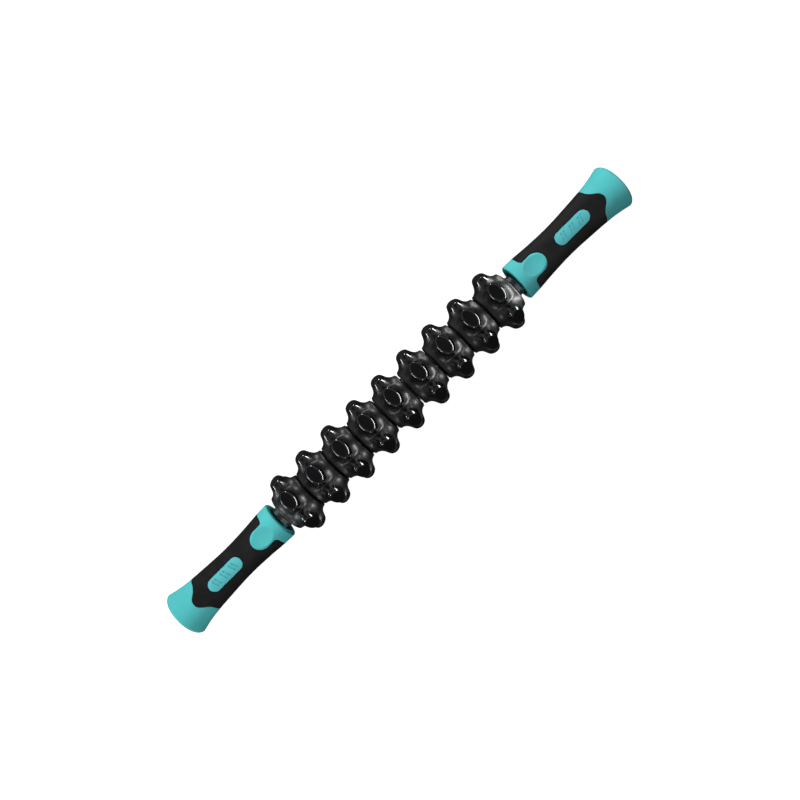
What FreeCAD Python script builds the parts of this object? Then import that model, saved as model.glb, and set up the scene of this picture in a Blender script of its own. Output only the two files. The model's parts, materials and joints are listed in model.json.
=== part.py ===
import FreeCAD, Part
import math
import os

# Two-handled massage roller stick. Millimetres. X runs along the tube, Z is up as the stick lies on its knobs,
# and the origin is the middle of the tube's axis. The handles are described for the +X side and mirrored.

# ---- driving dimensions -------------------------------------------------------------------------------------------

# roller stack
ROLLER_COUNT = 9
ROLLER_PITCH = 26.2
ROLLER_GAP = 0.7            # open slit between neighbouring tyres
SIDE_PLAY = 0.05            # end play on each side of a roller
TYRE_BODY_RADIUS = 15.2
TYRE_EDGE_ROUND = 0.8
KNOB_COUNT = 6
FACE_HEIGHT = 24.7          # flat face of a knob over the tube's axis
FACE_HALF_LENGTH = 3.3      # half of the face along the tube
FACE_HALF_WIDTH = 6.8       # half of the face around the roller
FACE_ROUND = 1.8            # how far the rounded rim stands out round the face
RIM_DEPTH = 1.3             # and how deep it goes
WAIST_DEPTH = 6.7           # the steep flank under the rim
WAIST_HALF_LENGTH = 7.4
WAIST_HALF_WIDTH = 10.0
FOOT_HALF_WIDTH = 10.2
FOOT_INSET = 0.7            # foot of a knob to the end of its tyre
FOOT_ROOT = 1.5             # the foot goes this far into the tyre's body
HUB_RADIUS = 11.0
HUB_KEY_COUNT = 3
HUB_KEY_WIDTH = 3.0
HUB_KEY_HEIGHT = 1.0
HUB_CHAMFER = 0.4

# tube and neck
TUBE_RADIUS = 7.5
TUBE_WALL = 1.2
NECK_LENGTH = 5.75          # last tyre to handle mouth
END_WASHER_INSET = 0.5      # washer's edge inside the hub's
END_WASHER_THICKNESS = 1.2
COLLAR_WALL = 0.72
COLLAR_RIDGE_HEIGHT = 0.65
COLLAR_RIDGE_LENGTH = 1.5
COLLAR_CHAMFER = 0.3

# handle
HANDLE_LENGTH = 101.7
HANDLE_TURN = 13.4          # badges lean this far from straight up, toward -Y
MOUTH_RADIUS = 15.5
WAIST_RADIUS = 13.4
FLARE_RADIUS = 18.75
MOUTH_ROUND = 1.2
END_ROUND = 3.0
MOUTH_CLEARANCE = 1.6       # collar ridge to the wall of the mouth
MOUTH_RECESS_DEPTH = 5.0

# grip
GRIP_THICKNESS = 1.8
COLLAR_BAND = 9.2           # bare band between mouth and grip
WAVE_FROM_END = 23.7        # grip edge at the sides to the handle end
WAVE_HEIGHT = 7.2           # how far the wave runs out at front and back
WAVE_HALF_WIDTH = 12.3
TONGUE_LENGTH = 16.5        # thumb rest beyond the band
TONGUE_HALF_WIDTH = 7.9
TONGUE_CORNER = 2.6
DISH_RADIUS = 16.2          # ball that scoops the thumb rest
DISH_FROM_BAND = 7.8
DISH_BELOW_WAIST = 0.6

# badge
BADGE_LENGTH = 32.5
BADGE_WIDTH = 11.6
BADGE_PROUD = 0.4
BADGE_PLACE = 0.475         # place between thumb rest and wave crest
BADGE_PEG_RADIUS = 1.5
BADGE_PEG_LENGTH = 1.6

# fastening
END_RECESS_RADIUS = 10.0
END_RECESS_DEPTH = 14.0
BULKHEAD = 4.0
CAP_RADIUS = 13.0
CAP_THICKNESS = 2.5
CAP_SPIGOT_LENGTH = 4.0
CAP_SPIGOT_WALL = 1.6
SCREW_RADIUS = 3.0
SCREW_LENGTH = 20.0
SCREW_HEAD_RADIUS = 5.25
SCREW_HEAD_HEIGHT = 3.6
SCREW_SOCKET_FLATS = 4.0
SCREW_SOCKET_DEPTH = 2.2
SCREW_WASHER_RADIUS = 6.2
SCREW_WASHER_THICKNESS = 1.6
PLUG_LENGTH = 16.0

# fits, radial
RUNNING_FIT = 0.08
SEAT_FIT = 0.03
MOULD_FIT = 0.02
SCREW_HOLE_FIT = 0.2

# ---- places worked out from them ----------------------------------------------------------------------------------

TYRE_LENGTH = ROLLER_PITCH - ROLLER_GAP
STACK_END = (ROLLER_COUNT * ROLLER_PITCH - ROLLER_GAP) / 2
SPACER_THICKNESS = ROLLER_GAP - 2 * SIDE_PLAY
END_WASHER_RADIUS = HUB_RADIUS - END_WASHER_INSET
MOUTH_X = STACK_END + NECK_LENGTH
END_X = MOUTH_X + HANDLE_LENGTH
MOUTH_FLOOR_X = MOUTH_X + MOUTH_RECESS_DEPTH
BAND_X = MOUTH_X + COLLAR_BAND
TONGUE_X = BAND_X + TONGUE_LENGTH
WAVE_X = END_X - WAVE_FROM_END
CREST_X = WAVE_X + WAVE_HEIGHT
BADGE_X = TONGUE_X + BADGE_PLACE * (CREST_X - TONGUE_X)
SEAT_X = END_X - END_RECESS_DEPTH
TUBE_END_X = SEAT_X - BULKHEAD
HEAD_X = SEAT_X + SCREW_WASHER_THICKNESS
CAP_X = END_X - CAP_THICKNESS
DISH_X = BAND_X + DISH_FROM_BAND
COLLAR_GROOVE_RADIUS = TUBE_RADIUS + SEAT_FIT + COLLAR_WALL
COLLAR_RIDGE_RADIUS = COLLAR_GROOVE_RADIUS + COLLAR_RIDGE_HEIGHT
MOUTH_RECESS_RADIUS = COLLAR_RIDGE_RADIUS + MOUTH_CLEARANCE
OUTSIDE = FLARE_RADIUS + 10.0

ORIGIN = FreeCAD.Vector(0, 0, 0)
X_DIR = FreeCAD.Vector(1, 0, 0)
Z_DIR = FreeCAD.Vector(0, 0, 1)


# ---- helpers ------------------------------------------------------------------------------------------------------

def at(x, y=0.0, z=0.0):
    return FreeCAD.Vector(x, y, z)


def rod(x_start, x_end, radius):
    """Round bar along X."""
    return Part.makeCylinder(radius, x_end - x_start, at(x_start), X_DIR)


def sleeve(x_start, x_end, inner_radius, outer_radius):
    """Round bar along X with a bore."""
    return rod(x_start, x_end, outer_radius).cut(rod(x_start, x_end, inner_radius))


def circle_edges(shape, radius):
    """Round edges of a given radius about the X axis."""
    found = []
    for edge in shape.Edges:
        if edge.Curve.TypeId == "Part::GeomCircle" and abs(edge.Curve.Radius - radius) < 1e-6:
            found.append(edge)
    return found


def turned(shape):
    """A handle piece in its place: turned about the tube so that the badge leans to the front."""
    copy = shape.copy()
    copy.rotate(ORIGIN, X_DIR, HANDLE_TURN)
    return copy


def mirrored(shape):
    return shape.mirror(ORIGIN, X_DIR)


def save(name, shape):
    shape.exportStep(os.path.join("parts", name + ".step"))


def save_pair(name, shape):
    """Saves a handle-side piece for both ends."""
    save(name + "_right", shape)
    save(name + "_left", mirrored(shape))


# ---- rollers ------------------------------------------------------------------------------------------------------

def oval(height, half_length, half_width):
    """Closed smooth oval lying across the radial direction, at a height above the roller's axis."""
    points = []
    for step in range(16):
        angle = 2 * math.pi * step / 16
        points.append(at(half_length * math.cos(angle), half_width * math.sin(angle), height))
    curve = Part.BSplineCurve()
    curve.interpolate(points, PeriodicFlag=True)
    return Part.Wire([curve.toShape()])


def knob():
    """One oval knob pointing along +Z: flat face, rounded rim, steep flank and a foot that runs out into the tyre."""
    rim_height = FACE_HEIGHT - RIM_DEPTH
    rim_half_length = FACE_HALF_LENGTH + FACE_ROUND
    rim_half_width = FACE_HALF_WIDTH + FACE_ROUND
    foot_half_length = TYRE_LENGTH / 2 - FOOT_INSET
    middle_half_length = 0.5 * (rim_half_length + WAIST_HALF_LENGTH)
    middle_half_width = 0.5 * (rim_half_width + WAIST_HALF_WIDTH)
    sections = (
        (FACE_HEIGHT, FACE_HALF_LENGTH, FACE_HALF_WIDTH),
        (FACE_HEIGHT - 0.35 * RIM_DEPTH, FACE_HALF_LENGTH + 0.65 * FACE_ROUND, FACE_HALF_WIDTH + 0.65 * FACE_ROUND),
        (rim_height, rim_half_length, rim_half_width),
        (0.5 * (rim_height + FACE_HEIGHT - WAIST_DEPTH), middle_half_length, middle_half_width),
        (FACE_HEIGHT - WAIST_DEPTH, WAIST_HALF_LENGTH, WAIST_HALF_WIDTH),
        (TYRE_BODY_RADIUS + 0.6, 0.5 * (WAIST_HALF_LENGTH + foot_half_length), FOOT_HALF_WIDTH),
        (TYRE_BODY_RADIUS - FOOT_ROOT, foot_half_length, FOOT_HALF_WIDTH),
    )
    wires = []
    for height, half_length, half_width in sections:
        wires.append(oval(height, half_length, half_width))
    return Part.makeLoft(wires, True, False)


def key_bars(reach, width):
    """Radial bars of the hub's keys, all along the roller."""
    bars = []
    for index in range(HUB_KEY_COUNT):
        bar = Part.makeBox(TYRE_LENGTH, width, reach, at(-TYRE_LENGTH / 2, -width / 2, 0))
        bar.rotate(ORIGIN, X_DIR, 360.0 * index / HUB_KEY_COUNT)
        bars.append(bar)
    return bars


def roller_hub():
    """Bearing bush that runs on the tube and drives the tyre with keys."""
    half = TYRE_LENGTH / 2
    barrel = rod(-half, half, HUB_RADIUS)
    keyed = barrel.multiFuse(key_bars(HUB_RADIUS + HUB_KEY_HEIGHT, HUB_KEY_WIDTH))
    bore = rod(-half, half, TUBE_RADIUS + RUNNING_FIT)
    hub = keyed.cut(bore).removeSplitter()
    return hub.makeChamfer(HUB_CHAMFER, circle_edges(hub, TUBE_RADIUS + RUNNING_FIT))


def roller_tyre():
    """Outer ring with its knobs, bored for the hub and its keys."""
    half = TYRE_LENGTH / 2
    body = rod(-half, half, TYRE_BODY_RADIUS)
    body = body.makeFillet(TYRE_EDGE_ROUND, circle_edges(body, TYRE_BODY_RADIUS))
    knobs = []
    for index in range(KNOB_COUNT):
        copy = knob()
        copy.rotate(ORIGIN, X_DIR, 360.0 * index / KNOB_COUNT)
        knobs.append(copy)
    tyre = body.multiFuse(knobs)
    tyre = tyre.cut(rod(-half, half, HUB_RADIUS + SEAT_FIT))
    keyways = key_bars(HUB_RADIUS + HUB_KEY_HEIGHT + SEAT_FIT, HUB_KEY_WIDTH + 2 * SEAT_FIT)
    for keyway in keyways:
        tyre = tyre.cut(keyway)
    return tyre


def make_rollers():
    tyre = roller_tyre()
    hub = roller_hub()
    for index in range(ROLLER_COUNT):
        place = at((index - (ROLLER_COUNT - 1) / 2) * ROLLER_PITCH)
        save("roller_tyre_%d" % (index + 1), tyre.translated(place))
        save("roller_hub_%d" % (index + 1), hub.translated(place))


def make_spacers():
    """Thin washers that keep the slits between the rollers open."""
    half = SPACER_THICKNESS / 2
    washer = sleeve(-half, half, TUBE_RADIUS + RUNNING_FIT, HUB_RADIUS)
    for index in range(ROLLER_COUNT - 1):
        place = at((index + 1 - ROLLER_COUNT / 2) * ROLLER_PITCH)
        save("spacer_washer_%d" % (index + 1), washer.translated(place))


# ---- tube and neck ------------------------------------------------------------------------------------------------

def core_tube():
    return sleeve(-TUBE_END_X, TUBE_END_X, TUBE_RADIUS - TUBE_WALL, TUBE_RADIUS)


def tube_plug():
    """Threaded plug in the tube's end."""
    start = TUBE_END_X - PLUG_LENGTH
    return sleeve(start, TUBE_END_X, SCREW_RADIUS + MOULD_FIT, TUBE_RADIUS - TUBE_WALL - MOULD_FIT)


def end_washer():
    start = STACK_END + SIDE_PLAY
    return sleeve(start, start + END_WASHER_THICKNESS, TUBE_RADIUS + SEAT_FIT, END_WASHER_RADIUS)


def neck_collar():
    """Stepped collar on the tube, from the end washer to the floor of the handle's mouth."""
    start = STACK_END + SIDE_PLAY + END_WASHER_THICKNESS
    middle = (start + MOUTH_X + COLLAR_RIDGE_LENGTH) / 2
    ridge_starts = (start, middle - COLLAR_RIDGE_LENGTH / 2, MOUTH_X + COLLAR_RIDGE_LENGTH)
    collar = rod(start, MOUTH_FLOOR_X, COLLAR_GROOVE_RADIUS)
    for ridge_start in ridge_starts:
        ridge = rod(ridge_start, ridge_start + COLLAR_RIDGE_LENGTH, COLLAR_RIDGE_RADIUS)
        ridge = ridge.makeChamfer(COLLAR_CHAMFER, circle_edges(ridge, COLLAR_RIDGE_RADIUS))
        collar = collar.fuse(ridge)
    collar = collar.cut(rod(start, MOUTH_FLOOR_X, TUBE_RADIUS + SEAT_FIT))
    return collar.removeSplitter()


# ---- handle -------------------------------------------------------------------------------------------------------

def handle_form(offset):
    """Outer form of a handle as a solid of revolution, grown by an offset."""
    stations = (
        (0.000, MOUTH_RADIUS),
        (0.105, MOUTH_RADIUS - 0.4),
        (0.250, WAIST_RADIUS + 0.6),
        (0.440, WAIST_RADIUS),
        (0.655, WAIST_RADIUS + 1.05),
        (0.823, WAIST_RADIUS + 2.4),
        (0.911, FLARE_RADIUS - 1.5),
        (0.970, FLARE_RADIUS - 0.15),
        (1.000, FLARE_RADIUS),
    )
    points = []
    for share, radius in stations:
        points.append(at(MOUTH_X + share * HANDLE_LENGTH, 0, -radius - offset))
    side = Part.BSplineCurve()
    side.interpolate(points)
    outline = Part.Wire([
        Part.makeLine(at(MOUTH_X), points[0]),
        side.toShape(),
        Part.makeLine(points[-1], at(END_X)),
        Part.makeLine(at(END_X), at(MOUTH_X)),
    ])
    return Part.Face(outline).revolve(ORIGIN, X_DIR, 360)


def bump(y):
    """How far the grip's outer edge runs out at a distance from the handle's middle line, from 0 to 1."""
    share = y / WAVE_HALF_WIDTH
    if abs(share) >= 1:
        return 0.0
    return 0.5 + 0.5 * math.cos(math.pi * share)


def wave_edge(shift):
    """Wavy outer edge of the grip across the handle, at z = 0."""
    points = []
    steps = 24
    for step in range(steps + 1):
        y = OUTSIDE * (2.0 * step / steps - 1)
        points.append(at(WAVE_X + shift + WAVE_HEIGHT * bump(y), y))
    edge = Part.BSplineCurve()
    edge.interpolate(points)
    return edge.toShape()


def thumb_rest_edges(shift):
    """Inner edge of the grip from +y to -y: round corners, straight sides and the round tip of the thumb rest."""
    half = TONGUE_HALF_WIDTH - shift
    band_x = BAND_X - shift
    corner_x = BAND_X + TONGUE_CORNER
    corner_y = TONGUE_HALF_WIDTH + TONGUE_CORNER
    radius = TONGUE_CORNER + shift
    diagonal = radius * math.sqrt(0.5)
    straight_x = TONGUE_X - TONGUE_HALF_WIDTH
    tip = Part.Arc(at(straight_x, half), at(straight_x + half), at(straight_x, -half))
    upper = Part.Arc(at(band_x, corner_y), at(corner_x - diagonal, corner_y - diagonal), at(corner_x, half))
    lower = Part.Arc(at(corner_x, -half), at(corner_x - diagonal, diagonal - corner_y), at(band_x, -corner_y))
    return [
        Part.makeLine(at(band_x, OUTSIDE), at(band_x, corner_y)),
        upper.toShape(),
        Part.makeLine(at(corner_x, half), at(straight_x, half)),
        tip.toShape(),
        Part.makeLine(at(straight_x, -half), at(corner_x, -half)),
        lower.toShape(),
        Part.makeLine(at(band_x, -corner_y), at(band_x, -OUTSIDE)),
    ]


def plain_edge(shift):
    """Inner edge of the grip at the back of the handle, where there is no thumb rest."""
    return [Part.makeLine(at(BAND_X - shift, OUTSIDE), at(BAND_X - shift, -OUTSIDE))]


def zone_half(inner_edges, shift):
    """Upright block from an inner edge to the wavy edge, standing on z = 0."""
    wave = wave_edge(shift)
    band_x = BAND_X - shift
    edges = [wave, Part.makeLine(at(WAVE_X + shift, OUTSIDE), at(band_x, OUTSIDE))]
    edges += inner_edges
    edges.append(Part.makeLine(at(band_x, -OUTSIDE), at(WAVE_X + shift, -OUTSIDE)))
    outline = Part.Wire(Part.__sortEdges__(edges))
    return Part.Face(outline).extrude(at(0, 0, OUTSIDE))


def grip_zone(shift):
    """Block that holds the whole grip, with the thumb rest left out at the front, grown by a shift."""
    front = zone_half(thumb_rest_edges(shift), shift)
    back = zone_half(plain_edge(shift), shift).translated(at(0, 0, -OUTSIDE))
    return front.fuse(back)


def badge_block(shift):
    """Upright block of the badge's rounded outline, grown by a shift."""
    radius = BADGE_WIDTH / 2 + shift
    reach = BADGE_LENGTH / 2 - BADGE_WIDTH / 2
    block = Part.makeBox(2 * reach, 2 * radius, OUTSIDE, at(BADGE_X - reach, -radius))
    for side in (-reach, reach):
        block = block.fuse(Part.makeCylinder(radius, OUTSIDE, at(BADGE_X + side), Z_DIR))
    return block.removeSplitter()


def grip_blank(clearance):
    """Grip without its badge window. A clearance grows it inward and sideways, for the seat in the core."""
    skin = handle_form(0).cut(handle_form(-GRIP_THICKNESS - clearance))
    return skin.common(grip_zone(clearance))


def handle_grip():
    return turned(grip_blank(0).cut(badge_block(MOULD_FIT)))


def handle_badge():
    """Inlay standing a little proud of the grip, with a peg into the core."""
    shell = handle_form(BADGE_PROUD).cut(handle_form(-GRIP_THICKNESS))
    plate = shell.common(badge_block(0))
    peg_top = WAIST_RADIUS
    peg_foot = WAIST_RADIUS - GRIP_THICKNESS - BADGE_PEG_LENGTH
    peg = Part.makeCylinder(BADGE_PEG_RADIUS, peg_top - peg_foot, at(BADGE_X, 0, peg_foot), Z_DIR)
    return turned(plate.fuse(peg).removeSplitter())


def handle_core():
    """Hard body of a handle: bored for the tube, with a bulkhead for the screw and recesses at both ends."""
    core = handle_form(0)
    core = core.makeFillet(END_ROUND, circle_edges(core, FLARE_RADIUS))
    core = core.makeFillet(MOUTH_ROUND, circle_edges(core, MOUTH_RADIUS))
    core = core.cut(grip_blank(MOULD_FIT))
    dish_z = WAIST_RADIUS - DISH_BELOW_WAIST + DISH_RADIUS
    core = core.cut(Part.makeSphere(DISH_RADIUS, at(DISH_X, 0, dish_z)))
    peg_hole_foot = WAIST_RADIUS - GRIP_THICKNESS - BADGE_PEG_LENGTH - SEAT_FIT
    core = core.cut(Part.makeCylinder(BADGE_PEG_RADIUS + SEAT_FIT, OUTSIDE, at(BADGE_X, 0, peg_hole_foot), Z_DIR))
    core = core.cut(rod(MOUTH_X, MOUTH_FLOOR_X, MOUTH_RECESS_RADIUS))
    core = core.cut(rod(MOUTH_X, TUBE_END_X, TUBE_RADIUS + SEAT_FIT))
    core = core.cut(rod(TUBE_END_X, SEAT_X, SCREW_RADIUS + SCREW_HOLE_FIT))
    core = core.cut(rod(SEAT_X, END_X, END_RECESS_RADIUS))
    core = core.cut(rod(CAP_X, END_X, CAP_RADIUS + SEAT_FIT))
    return turned(core)


# ---- fastening ----------------------------------------------------------------------------------------------------

def screw_washer():
    return sleeve(SEAT_X, HEAD_X, SCREW_RADIUS + SCREW_HOLE_FIT, SCREW_WASHER_RADIUS)


def handle_screw():
    """Socket screw from the end recess through the bulkhead into the tube's plug."""
    head = rod(HEAD_X, HEAD_X + SCREW_HEAD_HEIGHT, SCREW_HEAD_RADIUS)
    shank = rod(HEAD_X - SCREW_LENGTH, HEAD_X, SCREW_RADIUS)
    corner_radius = SCREW_SOCKET_FLATS / math.sqrt(3)
    corners = []
    for index in range(7):
        angle = math.radians(60 * index)
        corners.append(at(HEAD_X + SCREW_HEAD_HEIGHT, corner_radius * math.cos(angle), corner_radius * math.sin(angle)))
    socket = Part.Face(Part.makePolygon(corners)).extrude(at(-SCREW_SOCKET_DEPTH))
    return head.fuse(shank).removeSplitter().cut(socket)


def end_cap():
    """Flat cap with a hollow spigot that closes the screw recess."""
    disc = rod(CAP_X, END_X, CAP_RADIUS)
    spigot_radius = END_RECESS_RADIUS - SEAT_FIT
    spigot = sleeve(CAP_X - CAP_SPIGOT_LENGTH, CAP_X, spigot_radius - CAP_SPIGOT_WALL, spigot_radius)
    return disc.fuse(spigot).removeSplitter()


# ---- all pieces ---------------------------------------------------------------------------------------------------

def main():
    os.makedirs("parts", exist_ok=True)
    make_rollers()
    make_spacers()
    save("core_tube", core_tube())
    save_pair("tube_plug", tube_plug())
    save_pair("end_washer", end_washer())
    save_pair("neck_collar", neck_collar())
    save_pair("handle_core", handle_core())
    save_pair("handle_grip", handle_grip())
    save_pair("handle_badge", handle_badge())
    save_pair("handle_screw", handle_screw())
    save_pair("screw_washer", screw_washer())
    save_pair("end_cap", end_cap())


main()
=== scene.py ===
"""Massage roller stick: nine knobbed rollers on a steel tube between two flared handles with soft grips."""

import json
import logging
import math
from collections.abc import Callable, Iterator, Sequence
from contextlib import contextmanager
from dataclasses import dataclass, field
from enum import Enum

import bmesh
import bpy
from mathutils import Matrix, Vector


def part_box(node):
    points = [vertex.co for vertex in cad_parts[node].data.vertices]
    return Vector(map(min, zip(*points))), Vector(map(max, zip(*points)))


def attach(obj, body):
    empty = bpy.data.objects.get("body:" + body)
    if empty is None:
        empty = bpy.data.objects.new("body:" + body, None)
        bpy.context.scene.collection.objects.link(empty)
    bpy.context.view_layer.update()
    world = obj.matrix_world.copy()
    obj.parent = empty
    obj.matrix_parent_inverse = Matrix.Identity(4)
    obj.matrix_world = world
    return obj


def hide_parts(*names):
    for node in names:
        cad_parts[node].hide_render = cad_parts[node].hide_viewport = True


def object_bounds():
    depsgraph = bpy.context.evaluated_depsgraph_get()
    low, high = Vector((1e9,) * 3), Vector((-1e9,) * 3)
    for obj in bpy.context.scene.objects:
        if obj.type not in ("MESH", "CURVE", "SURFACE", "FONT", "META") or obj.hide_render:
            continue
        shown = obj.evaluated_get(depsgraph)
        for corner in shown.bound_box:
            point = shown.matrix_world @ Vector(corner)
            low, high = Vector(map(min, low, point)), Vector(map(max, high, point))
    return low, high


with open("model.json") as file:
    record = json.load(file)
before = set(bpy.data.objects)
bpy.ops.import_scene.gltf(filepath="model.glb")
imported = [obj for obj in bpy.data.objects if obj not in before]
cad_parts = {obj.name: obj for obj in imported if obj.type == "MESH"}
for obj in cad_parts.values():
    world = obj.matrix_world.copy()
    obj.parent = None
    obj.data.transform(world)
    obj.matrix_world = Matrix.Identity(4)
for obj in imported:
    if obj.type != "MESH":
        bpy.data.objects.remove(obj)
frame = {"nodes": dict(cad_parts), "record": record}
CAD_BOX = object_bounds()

LOG = logging.getLogger("roller_stick")
MM = 0.001
MERGE_DISTANCE = 0.004 * MM
CURVE_STEPS = 24
QUARTER_HANDLE = 0.552  # handle of a Bezier quarter circle, as a share of its radius
Profile = list[tuple[float, float]]
Triple = tuple[float, float, float]


class Side(Enum):
    """The two ends of the stick, as the sign of X."""

    RIGHT = 1
    LEFT = -1

    @property
    def word(self) -> str:
        """The side's name as the nodes end in it."""
        return self.name.lower()


class Carving(Enum):
    """What a tool does to the piece that it carves."""

    CUT = "DIFFERENCE"
    JOIN = "UNION"
    KEEP_COMMON = "INTERSECT"


# ---- modelling bench -----------------------------------------------------------------------------


def deselect_all() -> None:
    """Leaves nothing selected, the frame's own nodes included."""
    bpy.ops.object.select_all(action="DESELECT")


def make_active(piece: bpy.types.Object) -> None:
    """Selects one object alone and makes it active.

    Args:
        piece: The object to work on.
    """
    deselect_all()
    piece.select_set(True)
    bpy.context.view_layer.objects.active = piece


@contextmanager
def editing(piece: bpy.types.Object) -> Iterator[bmesh.types.BMesh]:
    """Opens a piece in edit mode with nothing selected.

    Args:
        piece: The mesh object to edit.

    Yields:
        The edit mesh, for picking vertices and faces in code.
    """
    make_active(piece)
    bpy.ops.object.mode_set(mode="EDIT")
    bpy.ops.mesh.select_mode(type="VERT")
    bpy.ops.mesh.select_all(action="DESELECT")
    try:
        yield bmesh.from_edit_mesh(piece.data)
    finally:
        bpy.ops.object.mode_set(mode="OBJECT")


def pick_vertices(piece: bpy.types.Object, wanted: Callable[[Vector], bool]) -> None:
    """Selects the vertices of the open edit mesh that a test on their place lets through.

    Args:
        piece: The mesh object in edit mode.
        wanted: The test on a vertex's place.
    """
    mesh = bmesh.from_edit_mesh(piece.data)
    for vertex in mesh.verts:
        vertex.select = wanted(vertex.co)
    mesh.select_flush(True)
    bmesh.update_edit_mesh(piece.data)


def tidy_mesh(piece: bpy.types.Object) -> None:
    """Merges doubled vertices and turns the faces outwards.

    Args:
        piece: The mesh object to clean.
    """
    with editing(piece):
        bpy.ops.mesh.select_all(action="SELECT")
        bpy.ops.mesh.remove_doubles(threshold=MERGE_DISTANCE)
        bpy.ops.mesh.normals_make_consistent(inside=False)


def lathe(name: str, outline: Profile, segments: int) -> bpy.types.Object:
    """Turns a closed outline about the X axis: a circle drawn out from point to point of the outline.

    Args:
        name: The new object's name.
        outline: Closed outline as (x, radius) pairs, in order.
        segments: Vertices around.

    Returns:
        The turned, closed piece.
    """
    start_x, start_radius = outline[0]
    deselect_all()
    bpy.ops.mesh.primitive_circle_add(
        vertices=segments, radius=start_radius, location=(start_x, 0, 0), rotation=(0, math.pi / 2, 0)
    )
    piece = bpy.context.object
    piece.name = name
    bpy.ops.object.transform_apply(location=True, rotation=True, scale=True)
    with editing(piece):
        bpy.ops.mesh.select_all(action="SELECT")
        last_x, last_radius = outline[0]
        for x, radius in list(outline[1:]) + [outline[0]]:
            bpy.ops.mesh.extrude_region_move(TRANSFORM_OT_translate={"value": (x - last_x, 0, 0)})
            scale = radius / last_radius
            if abs(scale - 1) > 1e-6:
                bpy.ops.transform.resize(value=(1, scale, scale), center_override=(x, 0, 0))
            last_x, last_radius = x, radius
    tidy_mesh(piece)
    return piece


def bar_from_curve(
    name: str, corners: Sequence[tuple[float, float, float, float]], bottom: float, top: float
) -> bpy.types.Object:
    """Upright block from a closed outline of Bezier points.

    Args:
        name: The new object's name.
        corners: Points as (x, y, handle_dx, handle_dy): the outgoing handle, mirrored for the incoming one.
            A zero handle makes a corner.
        bottom: Height of the lower face.
        top: Height of the upper face.

    Returns:
        The block as a closed mesh.
    """
    deselect_all()
    bpy.ops.curve.primitive_bezier_circle_add(radius=1.0, location=(0, 0, 0))
    outline = bpy.context.object
    outline.name = name
    curve = outline.data
    curve.dimensions = "2D"
    curve.fill_mode = "BOTH"
    curve.resolution_u = CURVE_STEPS
    spline = curve.splines[0]
    spline.bezier_points.add(len(corners) - len(spline.bezier_points))
    for point, (x, y, handle_x, handle_y) in zip(spline.bezier_points, corners):
        point.handle_left_type = "FREE"
        point.handle_right_type = "FREE"
        point.co = (x, y, 0)
        point.handle_right = (x + handle_x, y + handle_y, 0)
        point.handle_left = (x - handle_x, y - handle_y, 0)
    curve.extrude = (top - bottom) / 2
    make_active(outline)
    bpy.ops.object.convert(target="MESH")
    block = bpy.context.object
    with editing(block):
        bpy.ops.mesh.select_all(action="SELECT")
        bpy.ops.transform.translate(value=(0, 0, (top + bottom) / 2))
    tidy_mesh(block)
    return block


def carve(piece: bpy.types.Object, tool: bpy.types.Object, carving: Carving) -> None:
    """Cuts a piece with a tool, joins the tool to it or keeps what both share, and removes the tool.

    Args:
        piece: The object that changes.
        tool: The object it is carved with.
        carving: What the tool does.
    """
    make_active(piece)
    step = piece.modifiers.new("carve", "BOOLEAN")
    step.operation = carving.value
    step.solver = "EXACT"
    step.object = tool
    bpy.ops.object.modifier_apply(modifier=step.name)
    bpy.data.objects.remove(tool)


def turn_about_x(piece: bpy.types.Object, degrees: float) -> None:
    """Turns a piece's mesh about the tube.

    Args:
        piece: The mesh object.
        degrees: The angle by the right-hand rule about +X.
    """
    with editing(piece):
        bpy.ops.mesh.select_all(action="SELECT")
        bpy.ops.transform.rotate(value=-math.radians(degrees), orient_axis="X", center_override=(0, 0, 0))


def mirrored_copy(piece: bpy.types.Object, name: str) -> bpy.types.Object:
    """Copies a piece to the other end of the stick.

    Args:
        piece: The right-hand piece.
        name: The copy's name.

    Returns:
        The left-hand piece, with its own mesh.
    """
    make_active(piece)
    bpy.ops.object.duplicate()
    copy = bpy.context.object
    copy.name = name
    with editing(copy):
        bpy.ops.mesh.select_all(action="SELECT")
        bpy.ops.transform.mirror(constraint_axis=(True, False, False), center_override=(0, 0, 0))
    tidy_mesh(copy)
    return copy


def smooth(piece: bpy.types.Object, degrees: float) -> None:
    """Shades a piece smooth up to an edge angle.

    Args:
        piece: The mesh object.
        degrees: Edges steeper than this stay sharp.
    """
    make_active(piece)
    bpy.ops.object.shade_smooth_by_angle(angle=math.radians(degrees))


def through_points(points: Profile, steps: int) -> Profile:
    """Smooth run through a few outline points.

    Args:
        points: The (x, radius) points that the run passes through.
        steps: Pieces between neighbouring points.

    Returns:
        The finer outline, both ends included.
    """
    run: Profile = []
    last = len(points) - 1
    for index in range(last):
        before = points[max(index - 1, 0)]
        start, end = points[index], points[index + 1]
        after = points[min(index + 2, last)]
        width = end[0] - start[0]
        slope_start = (end[1] - before[1]) / (end[0] - before[0]) * width
        slope_end = (after[1] - start[1]) / (after[0] - start[0]) * width
        for step in range(steps):
            t = step / steps
            height = (2 * t**3 - 3 * t**2 + 1) * start[1] + (t**3 - 2 * t**2 + t) * slope_start
            height += (3 * t**2 - 2 * t**3) * end[1] + (t**3 - t**2) * slope_end
            run.append((start[0] + t * width, height))
    run.append(points[last])
    return run


def read_run(run: Profile, place: float) -> float:
    """Reads a run at a place, straight between its points.

    Args:
        run: Points in rising order of their first value.
        place: Where it is read.

    Returns:
        The second value there, or the one at the nearer end.
    """
    for (start, value), (end, next_value) in zip(run, run[1:]):
        if place <= end:
            share = max(0.0, (place - start) / (end - start))
            return value + (next_value - value) * share
    return run[-1][1]


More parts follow.
